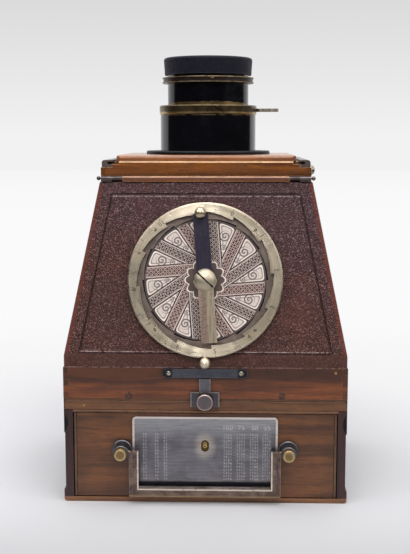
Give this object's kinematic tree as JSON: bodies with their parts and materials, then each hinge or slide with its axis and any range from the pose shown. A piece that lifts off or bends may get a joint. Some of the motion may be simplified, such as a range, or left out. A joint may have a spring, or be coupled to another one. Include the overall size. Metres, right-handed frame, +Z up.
{
  "type": "focal plane hand camera",
  "caption": "Early wooden hand camera for glass plates, standing on its back, with a focal-plane slit shutter, a round speed dial, a plate drawer and a capped lens.",
  "frame": {"origin": "centre of the underside of the plate magazine, on which the camera stands", "axes": "+Z up along the lens axis, -Y out of the face with the speed dial, +X to the right of someone looking at that face"},
  "size_m": [0.162, 0.1415, 0.2549],
  "materials": {
    "body_board": "oiled mahogany",
    "dark_wood": "dark stained and polished",
    "drawer_wood": "fine grained, polished",
    "rail_wood": "polished mahogany",
    "frame_wood": "polished mahogany, light",
    "inner_wood": "blackened inside",
    "leather": "pebbled, worn at the edges",
    "plaque_metal": "engraved, worn",
    "brass": "turned, tarnished",
    "bronze": "brown, polished at the edges",
    "blued_steel": "blued, rubbed",
    "sheath_steel": "blackened",
    "plate_glass": "clear",
    "lens_glass": "polished",
    "cloth": "rubbered blind cloth",
    "dial_silver": "silvered, warm, brushed round",
    "dial_print": "printed in brown and cream",
    "nickel": "nickelled, worn",
    "black_lacquer": "black lacquered, worn at the edges",
    "cap_leather": "black, fine grained"
  },
  "bodies": {
    "camera": {"magazine_floor": "drawer_wood", "magazine_side_left": "dark_wood", "magazine_side_right": "dark_wood", "magazine_back": "drawer_wood", "runner_left": "black_lacquer", "runner_right": "black_lacquer", "magazine_top": "drawer_wood", "base_rail_front": "rail_wood", "base_rail_back": "rail_wood", "base_rail_left": "rail_wood", "base_rail_right": "rail_wood", "tripod_bush": "brass", "shutter_board": "inner_wood", "cone_front": "body_board", "cone_back": "body_board", "cone_left": "body_board", "cone_right": "body_board", "leather_cover": "leather", "dial_base": "blued_steel", "step_ring": "blued_steel", "printed_disc": "dial_print", "latch_crossbar": "blued_steel", "front_bead": "frame_wood", "body_knuckles": "blued_steel"},
    "drawer": {"drawer_front": "drawer_wood", "drawer_tray": "drawer_wood", "exposure_table": "plaque_metal", "plate_sheaths": "sheath_steel", "glass_plates": "plate_glass", "pressure_springs": "sheath_steel", "bail_bosses": "blued_steel", "bail_knobs": "brass"},
    "bail": {"bail_handle": "bronze"},
    "counter": {"counter_wheel": "brass"},
    "carriage": {"slit_carriage": "sheath_steel"},
    "left_roller": {"roller_left": "cloth"},
    "right_roller": {"roller_right": "cloth"},
    "ring": {"scale_ring": "dial_silver"},
    "pointer": {"pointer_arm": "blued_steel", "pointer_ball": "nickel", "index_bar": "dial_silver", "centre_screw": "nickel"},
    "latch": {"latch_tongue": "blued_steel", "latch_knob": "nickel"},
    "frame": {"lens_frame": "frame_wood", "guide_rail_left": "black_lacquer", "guide_rail_right": "black_lacquer", "frame_knuckles": "blued_steel"},
    "board_lock": {"board_lock_knob": "nickel"},
    "board": {"lens_board": "frame_wood", "lens_flange": "black_lacquer", "lens_mount": "black_lacquer"},
    "focus": {"focus_ring": "brass"},
    "tube": {"lens_tube": "black_lacquer", "rear_element": "lens_glass", "front_element": "lens_glass", "front_rim": "black_lacquer"},
    "iris": {"iris_ring": "bronze"},
    "cap": {"lens_cap": "cap_leather"}
  },
  "joints": [
    {"name": "drawer_pull", "type": "slide", "parent": "camera", "child": "drawer", "axis": [0, -1, 0], "range_m": [0, 0.095]},
    {"name": "bail_swing", "type": "hinge", "parent": "drawer", "child": "bail", "pos_m": [0, -0.0696, 0.0311], "axis": [-1, 0, 0], "range_deg": [0, 100]},
    {"name": "counter_turn", "type": "hinge", "parent": "drawer", "child": "counter", "pos_m": [0, -0.062, 0.0246], "axis": [0, 1, 0], "continuous": true},
    {"name": "latch_release", "type": "hinge", "parent": "camera", "child": "latch", "pos_m": [0, -0.0654, 0.0729], "axis": [-1, 0, 0], "range_deg": [0, 12], "stiffness_Nm_per_rad": 0.05},
    {"name": "slit_travel", "type": "slide", "parent": "camera", "child": "carriage", "axis": [1, 0, 0], "range_m": [0, 0.12]},
    {"name": "left_roller_turn", "type": "hinge", "parent": "camera", "child": "left_roller", "pos_m": [-0.0687, 0, 0.0695], "axis": [0, 1, 0], "range_deg": [-1230, 0]},
    {"name": "right_roller_turn", "type": "hinge", "parent": "camera", "child": "right_roller", "pos_m": [0.0687, 0, 0.0695], "axis": [0, 1, 0], "range_deg": [-1230, 0]},
    {"name": "ring_turn", "type": "hinge", "parent": "camera", "child": "ring", "pos_m": [0, -0.05718, 0.1279], "axis": [0, -0.9864, 0.1646], "range_deg": [-60, 60]},
    {"name": "pointer_turn", "type": "hinge", "parent": "camera", "child": "pointer", "pos_m": [0, -0.05718, 0.1279], "axis": [0, -0.9864, 0.1646], "range_deg": [-150, 150]},
    {"name": "frame_open", "type": "hinge", "parent": "camera", "child": "frame", "pos_m": [0, -0.048, 0.1848], "axis": [1, 0, 0], "range_deg": [0, 95]},
    {"name": "lock_turn", "type": "hinge", "parent": "frame", "child": "board_lock", "pos_m": [0.0597, 0, 0.188], "axis": [1, 0, 0], "range_deg": [-90, 90]},
    {"name": "board_shift", "type": "slide", "parent": "frame", "child": "board", "axis": [0, 1, 0], "range_m": [-0.006, 0.006]},
    {"name": "focus_turn", "type": "hinge", "parent": "board", "child": "focus", "pos_m": [0, 0, 0.224], "axis": [0, 0, 1], "range_deg": [0, 80]},
    {"name": "focus_slide", "type": "slide", "parent": "board", "child": "tube", "axis": [0, 0, 1], "range_m": [0, 0.00418]},
    {"name": "iris_turn", "type": "hinge", "parent": "tube", "child": "iris", "pos_m": [0, 0, 0.2416], "axis": [0, 0, 1], "range_deg": [0, 70]},
    {"name": "cap_pull", "type": "slide", "parent": "tube", "child": "cap", "axis": [0, 0, 1], "range_m": [0, 0.03]}
  ],
  "couplings": [
    {"joint": "left_roller_turn", "follows": "slit_travel", "rad_per_m": -178.57},
    {"joint": "right_roller_turn", "follows": "slit_travel", "rad_per_m": -178.57},
    {"joint": "focus_turn", "follows": "focus_slide", "rad_per_m": 333.33}
  ]
}
